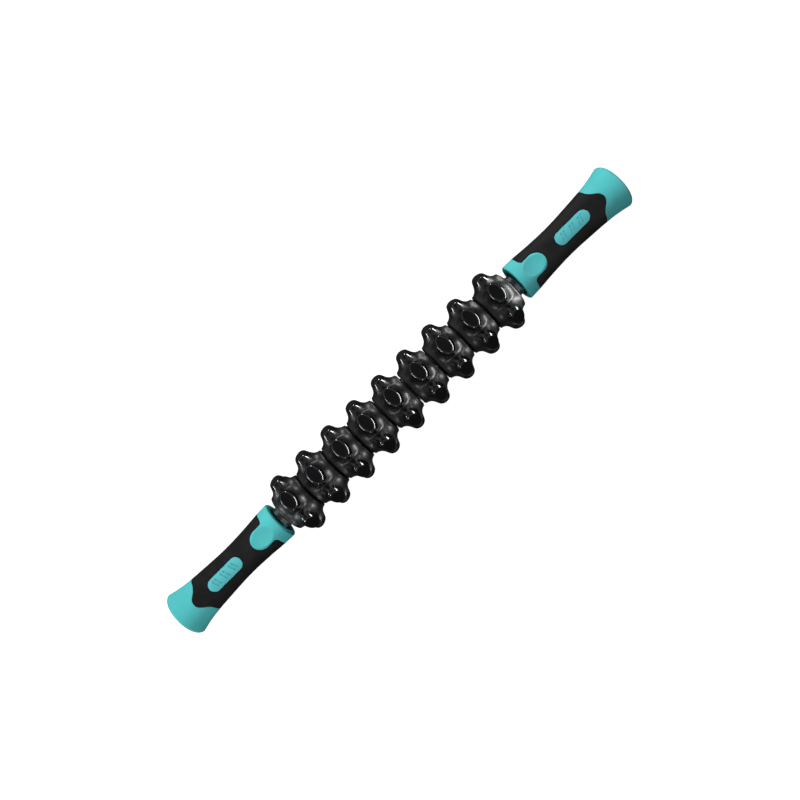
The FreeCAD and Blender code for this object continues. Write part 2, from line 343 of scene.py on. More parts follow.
def round_corner(
    centre: tuple[float, float], radius: float, start: float, end: float, steps: int
) -> Profile:
    """Arc of an outline.

    Args:
        centre: Centre as (x, radius from the axis).
        radius: Radius of the arc.
        start: First angle in degrees, from +X.
        end: Last angle in degrees.
        steps: Pieces of the arc.

    Returns:
        The arc's points.
    """
    arc: Profile = []
    for step in range(steps + 1):
        angle = math.radians(start + (end - start) * step / steps)
        arc.append((centre[0] + radius * math.cos(angle), centre[1] + radius * math.sin(angle)))
    return arc


# ---- finishes ------------------------------------------------------------------------------------


class ShaderBench:
    """Small helper that adds and joins the nodes of one material."""

    pattern_low: float = 0.3
    pattern_high: float = 0.7
    edge_samples: int = 6

    def __init__(self, name: str) -> None:
        """Starts an empty material.

        Args:
            name: The material's name.
        """
        self.material = bpy.data.materials.new(name)
        self.material.use_nodes = True
        self.nodes = self.material.node_tree.nodes
        self.links = self.material.node_tree.links
        self.surface = self.nodes["Principled BSDF"]
        self.place = self.nodes.new("ShaderNodeTexCoord").outputs["Object"]

    def stretched(self, scale: Triple) -> bpy.types.NodeSocket:
        """Object coordinates stretched along the axes.

        Args:
            scale: Factor along X, Y and Z.

        Returns:
            The vector socket.
        """
        mapping = self.nodes.new("ShaderNodeMapping")
        mapping.inputs["Scale"].default_value = scale
        self.links.new(self.place, mapping.inputs["Vector"])
        return mapping.outputs["Vector"]

    def noise(self, vector: bpy.types.NodeSocket, scale: float, detail: float = 3.0) -> bpy.types.NodeSocket:
        """Cloudy pattern.

        Args:
            vector: Where the pattern is read.
            scale: Cells per metre.
            detail: How many finer layers are added.

        Returns:
            The factor socket, from 0 to 1.
        """
        cloud = self.nodes.new("ShaderNodeTexNoise")
        cloud.inputs["Scale"].default_value = scale
        cloud.inputs["Detail"].default_value = detail
        self.links.new(vector, cloud.inputs["Vector"])
        return cloud.outputs["Fac"]

    def spread(self, factor: bpy.types.NodeSocket, low: float, high: float) -> bpy.types.NodeSocket:
        """Maps the usual reach of a pattern to a range of values.

        Args:
            factor: The pattern.
            low: Value at its low end.
            high: Value at its high end.

        Returns:
            The value socket.
        """
        ranged = self.nodes.new("ShaderNodeMapRange")
        ranged.inputs["From Min"].default_value = self.pattern_low
        ranged.inputs["From Max"].default_value = self.pattern_high
        ranged.inputs["To Min"].default_value = low
        ranged.inputs["To Max"].default_value = high
        self.links.new(factor, ranged.inputs["Value"])
        return ranged.outputs["Result"]

    def tint(self, factor: bpy.types.NodeSocket, dark: Sequence[float], light: Sequence[float]) -> None:
        """Lets the base colour wander between two shades.

        Args:
            factor: The pattern that drives it.
            dark: Shade at its low end.
            light: Shade at its high end.
        """
        ramp = self.nodes.new("ShaderNodeValToRGB")
        ramp.color_ramp.elements[0].position = self.pattern_low
        ramp.color_ramp.elements[0].color = (*dark, 1)
        ramp.color_ramp.elements[1].position = self.pattern_high
        ramp.color_ramp.elements[1].color = (*light, 1)
        self.links.new(factor, ramp.inputs["Fac"])
        self.links.new(ramp.outputs["Color"], self.surface.inputs["Base Color"])

    def roughness(self, factor: bpy.types.NodeSocket, low: float, high: float) -> None:
        """Lets the roughness wander between two values.

        Args:
            factor: The pattern that drives it.
            low: Value at its low end.
            high: Value at its high end.
        """
        self.links.new(self.spread(factor, low, high), self.surface.inputs["Roughness"])

    def mirroring(self, ior: float, specular: float) -> None:
        """Sets how strongly the surface mirrors.

        Args:
            ior: Index of refraction.
            specular: Specular level.
        """
        self.surface.inputs["IOR"].default_value = ior
        self.surface.inputs["Specular IOR Level"].default_value = specular

    def relief(self, height: bpy.types.NodeSocket, depth: float, edge_round: float = 0.0) -> None:
        """Adds fine relief to the surface, over softly rounded edges.

        Args:
            height: The pattern, from 0 to 1.
            depth: Its depth in metres.
            edge_round: Radius of the softened edges in metres.
        """
        bump = self.nodes.new("ShaderNodeBump")
        bump.inputs["Distance"].default_value = depth
        bump.inputs["Strength"].default_value = 1.0
        self.links.new(height, bump.inputs["Height"])
        if edge_round > 0:
            soft = self.nodes.new("ShaderNodeBevel")
            soft.samples = self.edge_samples
            soft.inputs["Radius"].default_value = edge_round
            self.links.new(soft.outputs["Normal"], bump.inputs["Normal"])
        self.links.new(bump.outputs["Normal"], self.surface.inputs["Normal"])


@dataclass(frozen=True)
class GlossPlastic:
    """Hard black tyre plastic, polished on the knobs' tops and duller down in the valleys."""

    name: str
    dark: Triple = (0.0024, 0.0024, 0.0029)
    light: Triple = (0.0038, 0.0038, 0.0046)
    valley_radius: float = 20.0 * MM
    top_radius: float = 22.6 * MM
    valley_haze: float = 0.42
    top_haze: float = 0.11
    haze_spread: float = 0.04
    cloud_cells: float = 90.0
    ripple_cells: float = 300.0
    ripple_depth: float = 0.003 * MM
    ior: float = 1.5
    specular: float = 1.0

    def build(self) -> bpy.types.Material:
        """Makes the material.

        Returns:
            The finished material.
        """
        bench = ShaderBench(self.name)
        clouds = bench.noise(bench.place, self.cloud_cells)
        bench.tint(clouds, self.dark, self.light)
        across = bench.nodes.new("ShaderNodeVectorMath")
        across.operation = "MULTIPLY"
        across.inputs[1].default_value = (0, 1, 1)
        bench.links.new(bench.place, across.inputs[0])
        height = bench.nodes.new("ShaderNodeVectorMath")
        height.operation = "LENGTH"
        bench.links.new(across.outputs["Vector"], height.inputs[0])
        polish = bench.nodes.new("ShaderNodeMapRange")
        polish.interpolation_type = "SMOOTHSTEP"
        for name, value in (
            ("From Min", self.valley_radius),
            ("From Max", self.top_radius),
            ("To Min", self.valley_haze),
            ("To Max", self.top_haze),
        ):
            polish.inputs[name].default_value = value
        bench.links.new(height.outputs["Value"], polish.inputs["Value"])
        haze = bench.nodes.new("ShaderNodeMath")
        haze.operation = "ADD"
        bench.links.new(polish.outputs["Result"], haze.inputs[0])
        wander = bench.spread(clouds, -self.haze_spread / 2, self.haze_spread / 2)
        bench.links.new(wander, haze.inputs[1])
        bench.links.new(haze.outputs["Value"], bench.surface.inputs["Roughness"])
        bench.relief(bench.noise(bench.place, self.ripple_cells, 1.0), self.ripple_depth)
        bench.mirroring(self.ior, self.specular)
        return bench.material


@dataclass(frozen=True)
class SatinPlastic:
    """Teal moulding with a fine spark-eroded texture."""

    name: str
    dark: Triple = (0.080, 0.475, 0.485)
    light: Triple = (0.092, 0.515, 0.525)
    rough_low: float = 0.48
    rough_high: float = 0.58
    cloud_cells: float = 60.0
    grain_cells: float = 2600.0
    grain_depth: float = 0.02 * MM
    edge_round: float = 0.35 * MM
    ior: float = 1.49
    specular: float = 0.12

    def build(self) -> bpy.types.Material:
        """Makes the material.

        Returns:
            The finished material.
        """
        bench = ShaderBench(self.name)
        clouds = bench.noise(bench.place, self.cloud_cells)
        bench.tint(clouds, self.dark, self.light)
        bench.roughness(clouds, self.rough_low, self.rough_high)
        bench.relief(bench.noise(bench.place, self.grain_cells, 2.0), self.grain_depth, self.edge_round)
        bench.mirroring(self.ior, self.specular)
        return bench.material


@dataclass(frozen=True)
class SoftGrip:
    """Matt black soft skin with a stippled surface that holds a little dust."""

    name: str
    dark: Triple = (0.010, 0.010, 0.0105)
    light: Triple = (0.016, 0.016, 0.017)
    rough_low: float = 0.52
    rough_high: float = 0.66
    cloud_cells: float = 110.0
    stipple_cells: float = 1500.0
    stipple_depth: float = 0.06 * MM
    edge_round: float = 0.4 * MM
    ior: float = 1.45
    specular: float = 0.1

    def build(self) -> bpy.types.Material:
        """Makes the material.

        Returns:
            The finished material.
        """
        bench = ShaderBench(self.name)
        clouds = bench.noise(bench.place, self.cloud_cells)
        bench.tint(clouds, self.dark, self.light)
        bench.roughness(clouds, self.rough_low, self.rough_high)
        stipple = bench.nodes.new("ShaderNodeTexVoronoi")
        stipple.inputs["Scale"].default_value = self.stipple_cells
        bench.links.new(bench.place, stipple.inputs["Vector"])
        bench.relief(stipple.outputs["Distance"], self.stipple_depth, self.edge_round)
        bench.mirroring(self.ior, self.specular)
        return bench.material


@dataclass(frozen=True)
class PlatedSteel:
    """Bright plate with fine turning marks around the axis."""

    name: str
    tone: Triple = (0.50, 0.51, 0.53)
    rough_low: float = 0.05
    rough_high: float = 0.10
    dark_share: float = 0.9
    cloud_cells: float = 160.0
    mark_cells: float = 4000.0
    mark_stretch: float = 0.03
    mark_depth: float = 0.004 * MM
    edge_round: float = 0.08 * MM

    def build(self) -> bpy.types.Material:
        """Makes the material.

        Returns:
            The finished material.
        """
        bench = ShaderBench(self.name)
        stretched = bench.stretched((1.0, self.mark_stretch, self.mark_stretch))
        marks = bench.noise(stretched, self.mark_cells, 2.0)
        clouds = bench.noise(bench.place, self.cloud_cells)
        darker = tuple(self.dark_share * channel for channel in self.tone)
        bench.tint(clouds, darker, self.tone)
        bench.roughness(clouds, self.rough_low, self.rough_high)
        bench.relief(marks, self.mark_depth, self.edge_round)
        bench.surface.inputs["Metallic"].default_value = 1.0
        return bench.material


@dataclass(frozen=True)
class BearingPlastic:
    """Dull dark bearing plastic with faint machining marks."""

    name: str
    dark: Triple = (0.012, 0.012, 0.013)
    light: Triple = (0.022, 0.022, 0.024)
    rough_low: float = 0.4
    rough_high: float = 0.55
    mark_cells: float = 2200.0
    mark_stretch: float = 0.1
    mark_depth: float = 0.01 * MM
    edge_round: float = 0.1 * MM

    def build(self) -> bpy.types.Material:
        """Makes the material.

        Returns:
            The finished material.
        """
        bench = ShaderBench(self.name)
        stretched = bench.stretched((1.0, self.mark_stretch, self.mark_stretch))
        marks = bench.noise(stretched, self.mark_cells, 2.0)
        bench.tint(marks, self.dark, self.light)
        bench.roughness(marks, self.rough_low, self.rough_high)
        bench.relief(marks, self.mark_depth, self.edge_round)
        return bench.material


@dataclass
class FinishShelf:
    """All finishes of the stick, one per material slot of the record."""

    roller_black: bpy.types.Material = field(init=False)
    teal_plastic: bpy.types.Material = field(init=False)
    badge_teal: bpy.types.Material = field(init=False)
    grip_rubber: bpy.types.Material = field(init=False)
    chrome_steel: bpy.types.Material = field(init=False)
    zinc_steel: bpy.types.Material = field(init=False)
    bearing_plastic: bpy.types.Material = field(init=False)

    def __post_init__(self) -> None:
        """Builds each material."""
        self.roller_black = GlossPlastic("roller_black").build()
        self.teal_plastic = SatinPlastic("teal_plastic").build()
        self.badge_teal = SatinPlastic(
            "badge_teal", dark=(0.095, 0.47, 0.50), light=(0.108, 0.50, 0.53), edge_round=0.15 * MM
        ).build()
        self.grip_rubber = SoftGrip("grip_rubber").build()
        self.chrome_steel = PlatedSteel("chrome_steel").build()
        self.zinc_steel = PlatedSteel(
            "zinc_steel", tone=(0.55, 0.56, 0.57), rough_low=0.25, rough_high=0.38
        ).build()
        self.bearing_plastic = BearingPlastic("bearing_plastic").build()

    def dress(self, piece: bpy.types.Object, slot: str) -> None:
        """Gives a piece the finish of a slot.

        Args:
            piece: The mesh object.
            slot: The record's material slot, which is also the finish's name here.
        """
        piece.data.materials.clear()
        piece.data.materials.append(getattr(self, slot))


def set_in_frame(piece: bpy.types.Object, body: str, node: str) -> None:
    """Lets a finished piece ride on its body in place of its node.

    Args:
        piece: The finished mesh object.
        body: The body that carries it.
        node: The node that it stands for.
    """
    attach(piece, body)
    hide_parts(node)
    LOG.info("%s: %d faces on %s", piece.name, len(piece.data.polygons), body)


# ---- rollers -------------------------------------------------------------------------------------


@dataclass(frozen=True)
class KnobSide:
    """Side line of a knob in one direction: round rim, straight flank, hollow foot.

    Half the flat face, the rim's radius, the flank's slope in degrees, the depth where the flank ends and the
    radius of the hollow foot.
    """

    face: float
    rim: float
    slope: float
    flank_depth: float
    foot: float

    def reach(self, depth: float) -> float:
        """Half the knob's size at a depth.

        Args:
            depth: Depth under the face.

        Returns:
            Half the length or width there.
        """
        steep = math.radians(self.slope)
        rim_depth = self.rim * (1 - math.cos(steep))
        if depth < rim_depth:
            return self.face + math.sqrt(self.rim**2 - (self.rim - depth) ** 2)
        size = self.face + self.rim * math.sin(steep)
        size += (min(depth, self.flank_depth) - rim_depth) / math.tan(steep)
        if depth > self.flank_depth:
            flatness = min(1.0, math.cos(steep) + (depth - self.flank_depth) / self.foot)
            size += self.foot * (math.sin(steep) - math.sqrt(1 - flatness**2))
        return size


@dataclass
class RollerTyres:
    """The nine black tyres: a bored ring whose six flat-faced oval knobs run out softly into it."""

    finishes: FinishShelf
    count: int = 9
    knob_count: int = 6
    segments: int = 288
    half_stations: int = 48
    end_inset: float = 0.75 * MM
    clearance: float = 0.005 * MM
    body_radius: float = 14.8 * MM
    end_radius: float = 14.2 * MM
    bore_radius: float = 11.04 * MM
    recess: float = 0.2 * MM
    lip_width: float = 1.3 * MM
    saddle_radius: float = 18.6 * MM
    saddle_half_length: float = 6.5 * MM
    blend_power: float = 28.0
    soften: int = 4
    soften_inset: float = 1.0 * MM
    face_share: float = 0.16
    contour_share: float = 0.8
    contour_depth: float = 6.6 * MM
    knob_depth: float = 9.9 * MM
    search_steps: int = 20
    lengthways: KnobSide = KnobSide(
        face=3.0 * MM, rim=2.7 * MM, slope=67.0, flank_depth=4.5 * MM, foot=8.3 * MM
    )
    crossways: KnobSide = KnobSide(
        face=6.3 * MM, rim=2.4 * MM, slope=77.0, flank_depth=6.7 * MM, foot=8.0 * MM
    )
    half: float = field(init=False)
    face_height: float = field(init=False)

    def __post_init__(self) -> None:
        """Reads the tyre's size from the frame."""
        low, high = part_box("roller_tyre_5")
        self.half = (high.x - low.x) / 2
        self.face_height = high.z - self.clearance

    def knob_radius(self, x: float, angle: float) -> float:
        """Distance from the axis to the surface of a knob.

        Args:
            x: Distance from the roller's middle.
            angle: Angle from the knob's middle, in radians.

        Returns:
            The distance, or the plain ring's radius beside the knob's foot.
        """

        def beside(depth: float) -> bool:
            """Whether the place is outside the knob's oval at a depth.

            Args:
                depth: Depth under the face.

            Returns:
                True where it is outside.
            """
            along = x / self.lengthways.reach(depth)
            around = (self.face_height - depth) * math.tan(angle) / self.crossways.reach(depth)
            return math.hypot(along, around) > 1

        if not beside(0.0):
            return self.face_height / math.cos(angle)
        if beside(self.knob_depth):
            return self.body_radius
        shallow, deep = 0.0, self.knob_depth
        for _ in range(self.search_steps):
            middle = (shallow + deep) / 2
            if beside(middle):
                shallow = middle
            else:
                deep = middle
        flatness = 1 - (deep / self.knob_depth) ** 4
        return (self.face_height - deep) / math.cos(angle * flatness)

    def surface_radius(self, x: float, angle: float) -> float:
        """Distance from the axis to the tyre's outside: knob, saddle between knobs and ring, softly joined.

        Args:
            x: Distance from the roller's middle.
            angle: Angle from the nearest knob's middle, in radians.

        Returns:
            The distance.
        """
        saddle_rise = (self.saddle_radius - self.body_radius) / (1 + (x / self.saddle_half_length) ** 4)
        parts = (self.knob_radius(x, angle), self.body_radius + saddle_rise, self.body_radius)
        return sum(radius**self.blend_power for radius in parts) ** (1 / self.blend_power)

    def contour(self, level: float) -> tuple[float, float]:
        """Size of the oval that a closed row of faces follows.

        Args:
            level: 0 at the middle of the face, 1 at the last oval of the flank.

        Returns:
            Half its length, and half its width as an angle about the axis.
        """
        depth = self.contour_depth * max(0.0, (level - self.face_share) / (1 - self.face_share)) ** 2
        shrink = min(1.0, level / self.face_share)
        length, width = shrink * self.lengthways.reach(depth), shrink * self.crossways.reach(depth)
        return length, math.atan(width / (self.face_height - depth))

    def settle(self, along: float, around: float) -> tuple[float, float]:
        """Moves a place of the even net over a knob so that the net's rows run along the knob's ovals.

        Args:
            along: Place along the tyre, from 0 at its middle to 1 at its end.
            around: Place around it, from 0 at the knob's middle to 1 half way to the next knob.

        Returns:
            The place's x and its angle from the knob's middle.
        """
        plain_x = along * (self.half - self.end_inset)
        plain_angle = around * math.pi / self.knob_count
        ring = max(along, around)
        if ring == 0:
            return 0.0, 0.0
        if along >= around:
            turn = math.pi / 4 * (around / along)
        else:
            turn = math.pi / 2 - math.pi / 4 * (along / around)
        length, angle = self.contour(min(ring / self.contour_share, 1.0))
        oval_x, oval_angle = length * math.cos(turn), angle * math.sin(turn)
        plain_share = max(0.0, (ring - self.contour_share) / (1 - self.contour_share))
        x = oval_x + (plain_x - oval_x) * plain_share
        return x, oval_angle + (plain_angle - oval_angle) * plain_share

    def outline(self) -> Profile:
        """Closed section of the plain ring before its knobs are drawn out.

        Returns:
            The outline, from the bore's left end round the outside.
        """
        lip_radius = self.bore_radius + self.lip_width
        left: Profile = [
            (-self.half + self.recess, self.bore_radius),
            (-self.half + self.recess, lip_radius - 0.15 * MM),
            (-self.half, lip_radius + 0.1 * MM),
            (-self.half, self.end_radius - 0.4 * MM),
            (-self.half + 0.03 * MM, self.end_radius),
            (-self.half + 0.2 * MM, self.body_radius - 0.3 * MM),
            (-self.half + 0.45 * MM, self.body_radius - 0.06 * MM),
        ]
        first = self.half - self.end_inset
        count = self.half_stations
        outside = [(first * index / count, self.body_radius) for index in range(-count, count + 1)]
        right = [(-x, radius) for x, radius in reversed(left)]
        bore = [(self.half * share, self.bore_radius) for share in (0.9, -0.9)]
        return left + outside + right + bore

    def draw_out_knobs(self, ring: bpy.types.Object) -> None:
        """Sets each vertex of the ring's outside on the knobs' form.

        The ovals' crisp rims need a net that follows them closely, which scaling whole rows doesn't give.

        Args:
            ring: The plain ring.
        """
        pitch = 2 * math.pi / self.knob_count
        step = 2 * math.pi / self.segments
        half_lines = self.segments // self.knob_count // 2
        spacing = (self.half - self.end_inset) / self.half_stations
        settled: dict[tuple[int, int], tuple[float, float, float]] = {}
        with editing(ring) as mesh:
            for vertex in mesh.verts:
                x, y, z = vertex.co
                if abs(x) > (self.half_stations + 0.1) * spacing or math.hypot(y, z) < self.end_radius:
                    continue
                angle = math.atan2(y, z)
                knob = round(angle / pitch)
                away = angle - knob * pitch
                key = (round(abs(x) / spacing), round(abs(away) / step))
                if key not in settled:
                    place_x, place_angle = self.settle(key[0] / self.half_stations, key[1] / half_lines)
                    settled[key] = (place_x, place_angle, self.surface_radius(place_x, place_angle))
                place_x, place_angle, radius = settled[key]
                angle = knob * pitch + math.copysign(place_angle, away)
                vertex.co = (math.copysign(place_x, x), radius * math.sin(angle), radius * math.cos(angle))
            bmesh.update_edit_mesh(ring.data)
        reach = self.half - self.soften_inset
        with editing(ring):
            pick_vertices(ring, lambda co: abs(co.x) < reach and math.hypot(co.y, co.z) > self.end_radius)
            bpy.ops.mesh.vertices_smooth(factor=0.5, repeat=self.soften)

    def build(self) -> None:
        """Models one tyre and places a copy in each roller."""
        master = lathe("tyre_master", self.outline(), self.segments)
        self.draw_out_knobs(master)
        tidy_mesh(master)
        make_active(master)
        bpy.ops.object.shade_smooth()
        self.finishes.dress(master, "roller_black")
        for number in range(1, self.count + 1):
            low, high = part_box(f"roller_tyre_{number}")
            make_active(master)
            bpy.ops.object.duplicate()
            tyre = bpy.context.object
            tyre.name = f"knobbed_tyre_{number}"
            with editing(tyre):
                bpy.ops.mesh.select_all(action="SELECT")
                bpy.ops.transform.translate(value=((low.x + high.x) / 2, 0, 0))
            set_in_frame(tyre, f"roller_{number}", f"roller_tyre_{number}")
        bpy.data.objects.remove(master)


# ---- handles -------------------------------------------------------------------------------------


@dataclass
class Handle:
    """Both handles: teal body, soft grip, badge and end cap, modelled at the right, mirrored to the left."""

    finishes: FinishShelf
    turn: float = 13.4
    segments: int = 144
    mouth_radius: float = 15.5 * MM
    waist_radius: float = 13.4 * MM
    flare_radius: float = 18.75 * MM
    line_steps: int = 9
    point_gap: float = 0.1 * MM
    mouth_round: float = 1.3 * MM
    end_round: float = 3.0 * MM
    recess_radius: float = 10.5 * MM
    recess_depth: float = 5.0 * MM
    recess_round: float = 0.7 * MM
    bore_radius: float = 7.53 * MM
    bore_station: float = 30.0 * MM
    cap_radius: float = 13.03 * MM
    cap_pocket: float = 2.5 * MM
    pocket_bevel_width: float = 0.35 * MM
    pocket_bevel_depth: float = 0.3 * MM
    cap_clearance: float = 0.12 * MM
    cap_round: float = 0.35 * MM
    cap_ring_share: float = 0.68
    cap_ring_depth: float = 0.3 * MM
    cap_ring_half_top: float = 0.5 * MM
    cap_ring_half_floor: float = 0.2 * MM
    cap_face_share: float = 0.3
    spigot_radius: float = 9.97 * MM
    spigot_bore: float = 8.4 * MM
    pole_radius: float = 0.02 * MM
    sleeve_from_end: float = 8.0 * MM
    front_from: float = 2.0 * MM
    overcut: float = 10.0 * MM
    seat_overcut: float = 3.0 * MM
    mark_overcut: float = 2.0 * MM
    band_overrun: float = 2.0 * MM
    badge_overrun: float = 1.0 * MM
    fit_gap: float = 0.05 * MM
    grip_thickness: float = 1.8 * MM
    seam: float = 0.13 * MM
    wave_from_end: float = 23.7 * MM
    wave_height: float = 7.2 * MM
    wave_half_width: float = 12.3 * MM
    tongue_length: float = 16.5 * MM
    tongue_half_width: float = 7.9 * MM
    tongue_corner: float = 2.6 * MM
    dish_segments: int = 96
    dish_rings: int = 64
    dish_radius: float = 22.0 * MM
    dish_stretch: float = 1.5
    dish_from_band: float = 8.0 * MM
    dish_below_waist: float = 0.75 * MM
    badge_half_width: float = 5.25 * MM
    badge_end_reach: float = 5.8 * MM
    badge_proud: float = 0.4 * MM
    mark_count: int = 3
    mark_spacing: float = 8.2 * MM
    mark_gap: float = 1.35 * MM
    mark_slant: float = 0.9 * MM
    mark_half_stroke: float = 0.6 * MM
    mark_half_height: float = 2.8 * MM
    mark_depth: float = 0.5 * MM
    mouth_x: float = field(init=False)
    end_x: float = field(init=False)
    band_x: float = field(init=False)
    badge_x: float = field(init=False)
    badge_half_length: float = field(init=False)
    length: float = field(init=False)
    outside: float = field(init=False)

    def __post_init__(self) -> None:
        """Reads the places of the handle's pieces from the frame."""
        core_low, core_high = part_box("handle_core_right")
        grip_low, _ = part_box("handle_grip_right")
        badge_low, badge_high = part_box("handle_badge_right")
        self.mouth_x = core_low.x
        self.end_x = core_high.x
        self.band_x = grip_low.x
        self.badge_x = (badge_low.x + badge_high.x) / 2
        self.badge_half_length = (badge_high.x - badge_low.x) / 2
        self.length = self.end_x - self.mouth_x
        self.outside = self.flare_radius + self.overcut

    def form(self, offset: float) -> Profile:
        """The handle's outer side line, grown by an offset.

        Args:
            offset: Distance outwards.

        Returns:
            The side line from mouth to end.
        """
        stations = (
            (0.000, self.mouth_radius),
            (0.105, self.mouth_radius - 0.4 * MM),
            (0.250, self.waist_radius + 0.6 * MM),
            (0.440, self.waist_radius),
            (0.655, self.waist_radius + 1.05 * MM),
            (0.823, self.waist_radius + 2.4 * MM),
            (0.911, self.flare_radius - 1.5 * MM),
            (0.970, self.flare_radius - 0.15 * MM),
            (1.000, self.flare_radius),
        )
        points = [(self.mouth_x + share * self.length, radius + offset) for share, radius in stations]
        return through_points(points, self.line_steps)

    def clipped_form(self, offset: float, start: float, end: float) -> Profile:
        """The part of the side line between two places.

        Args:
            offset: Distance outwards.
            start: First x.
            end: Last x.

        Returns:
            The clipped side line with exact ends.
        """
        line = self.form(offset)
        inner = [point for point in line if start + self.point_gap < point[0] < end - self.point_gap]
        return [(start, self.radius_at(start) + offset)] + inner + [(end, self.radius_at(end) + offset)]

    def radius_at(self, x: float) -> float:
        """Outer radius of the handle at a place.

        Args:
            x: The place along the tube.

        Returns:
            The radius there.
        """
        return read_run(self.form(0.0), x)

    def skin(self, name: str, outer: float, inner: float, start: float, end: float) -> bpy.types.Object:
        """Turned sleeve that follows the handle's side line.

        Args:
            name: The new object's name.
            outer: Offset of its outer side.
            inner: Offset of its inner side.
            start: First x.
            end: Last x.

        Returns:
            The sleeve.
        """
        outside = self.clipped_form(outer, start, end)
        inside = self.clipped_form(inner, start, end)
        return lathe(name, outside + list(reversed(inside)), self.segments)

    def wave_tool(self, shift: float) -> bpy.types.Object:
        """Block that covers everything beyond the grip's wavy outer edge.

        Args:
            shift: Distance the edge moves towards the handle's end.

        Returns:
            The block.
        """
        wave_x = self.end_x - self.wave_from_end + shift
        crest_x = wave_x + self.wave_height
        far_x = self.end_x + self.overcut
        reach = 0.5 * self.wave_half_width
        corners = (
            (wave_x, -self.outside, 0, 0),
            (far_x, -self.outside, 0, 0),
            (far_x, self.outside, 0, 0),
            (wave_x, self.outside, 0, 0),
            (wave_x, self.wave_half_width, 0, -reach),
            (crest_x, 0, 0, -reach),
            (wave_x, -self.wave_half_width, 0, -reach),
        )
        return bar_from_curve("wave_tool", corners, -self.outside, self.outside)

    def thumb_tool(self, shift: float) -> bpy.types.Object:
        """Block of the thumb rest's outline, with soft corners where it leaves the band.

        Args:
            shift: Distance the outline shrinks.

        Returns:
            The block, at the front only.
        """
        half = self.tongue_half_width - shift
        corner = self.tongue_corner
        tip_x = self.band_x + self.tongue_length - shift
        straight_x = self.band_x + self.tongue_length - self.tongue_half_width
        back_x = self.band_x - self.band_overrun
        round_reach = QUARTER_HANDLE * half
        corner_reach = QUARTER_HANDLE * corner
        corners = (
            (back_x, -half - corner, 0, 0),
            (self.band_x - shift, -half - corner, 0, corner_reach),
            (self.band_x + corner, -half, corner_reach, 0),
            (straight_x, -half, round_reach, 0),
            (tip_x, 0, 0, round_reach),
            (straight_x, half, -round_reach, 0),
            (self.band_x + corner, half, -corner_reach, 0),
            (self.band_x - shift, half + corner, 0, corner_reach),
            (back_x, half + corner, 0, 0),
        )
        return bar_from_curve("thumb_tool", corners, self.front_from, self.outside)

    def badge_tool(self, shift: float) -> bpy.types.Object:
        """Block of the badge's outline with round ends.

        Args:
            shift: Distance the outline grows.

        Returns:
            The block, at the front only.
        """
        radius = self.badge_half_width + shift
        run = self.badge_half_length - self.badge_end_reach
        reach = QUARTER_HANDLE * radius
        x = self.badge_x
        corners = (
            (x - run, -radius, reach, 0),
            (x + run, -radius, reach, 0),
            (x + run + radius, 0, 0, reach),
            (x + run, radius, -reach, 0),
            (x - run, radius, -reach, 0),
            (x - run - radius, 0, 0, -reach),
        )
        return bar_from_curve("badge_tool", corners, self.front_from, self.outside)

    def core_outline(self) -> Profile:
        """Closed section of the teal body with its mouth, bore and end pocket.

        Returns:
            The outline, from the mouth's inner edge round the outside and back through the bore.
        """
        rim_centre = (self.mouth_x + self.recess_round, self.recess_radius + self.recess_round)
        rim = round_corner(rim_centre, self.recess_round, 270, 180, 4)
        mouth_centre = (self.mouth_x + self.mouth_round, self.mouth_radius - self.mouth_round)
        mouth_arc = round_corner(mouth_centre, self.mouth_round, 180, 90, 6)
        end_centre = (self.end_x - self.end_round, self.flare_radius - self.end_round)
        end_arc = round_corner(end_centre, self.end_round, 84, 0, 8)
        side = self.clipped_form(0.0, mouth_centre[0] + 0.4 * MM, end_centre[0])
        floor_x = self.mouth_x + self.recess_depth
        return (
            rim
            + mouth_arc
            + side
            + end_arc
            + [
                (self.end_x, self.cap_radius + self.pocket_bevel_width),
                (self.end_x - self.pocket_bevel_depth, self.cap_radius),
                (self.end_x - self.cap_pocket, self.cap_radius),
                (self.end_x - self.cap_pocket, self.bore_radius),
                (self.mouth_x + self.bore_station, self.bore_radius),
                (floor_x, self.bore_radius),
                (floor_x, self.recess_radius),
            ]
        )

    def make_core(self) -> bpy.types.Object:
        """Models the teal body with the seat of the grip and the scooped thumb rest.

        Returns:
            The right-hand body.
        """
        core = lathe("teal_body_right", self.core_outline(), self.segments)
        start, end = self.band_x - self.seam, self.end_x - self.sleeve_from_end
        seat = self.skin("grip_seat", self.seat_overcut, -self.grip_thickness - self.fit_gap, start, end)
        carve(seat, self.wave_tool(self.seam), Carving.CUT)
        carve(seat, self.thumb_tool(self.seam), Carving.CUT)
        carve(core, seat, Carving.CUT)
        dish_z = self.waist_radius - self.dish_below_waist + self.dish_radius
        dish_place = (self.band_x + self.dish_from_band, 0, dish_z)
        deselect_all()
        bpy.ops.mesh.primitive_uv_sphere_add(
            segments=self.dish_segments, ring_count=self.dish_rings, radius=self.dish_radius, location=dish_place
        )
        scoop = bpy.context.object
        with editing(scoop):
            bpy.ops.mesh.select_all(action="SELECT")
            bpy.ops.transform.resize(value=(1, self.dish_stretch, 1), center_override=(0, 0, 0))
        carve(core, scoop, Carving.CUT)
        return core

    def make_grip(self) -> bpy.types.Object:
        """Models the soft skin with its wavy edge, thumb rest cut-out and badge window.

        Returns:
            The right-hand grip.
        """
        end = self.end_x - self.sleeve_from_end
        grip = self.skin("soft_grip_right", 0.0, -self.grip_thickness, self.band_x, end)
        carve(grip, self.wave_tool(0.0), Carving.CUT)
        carve(grip, self.thumb_tool(0.0), Carving.CUT)
        carve(grip, self.badge_tool(self.fit_gap), Carving.CUT)
        return grip

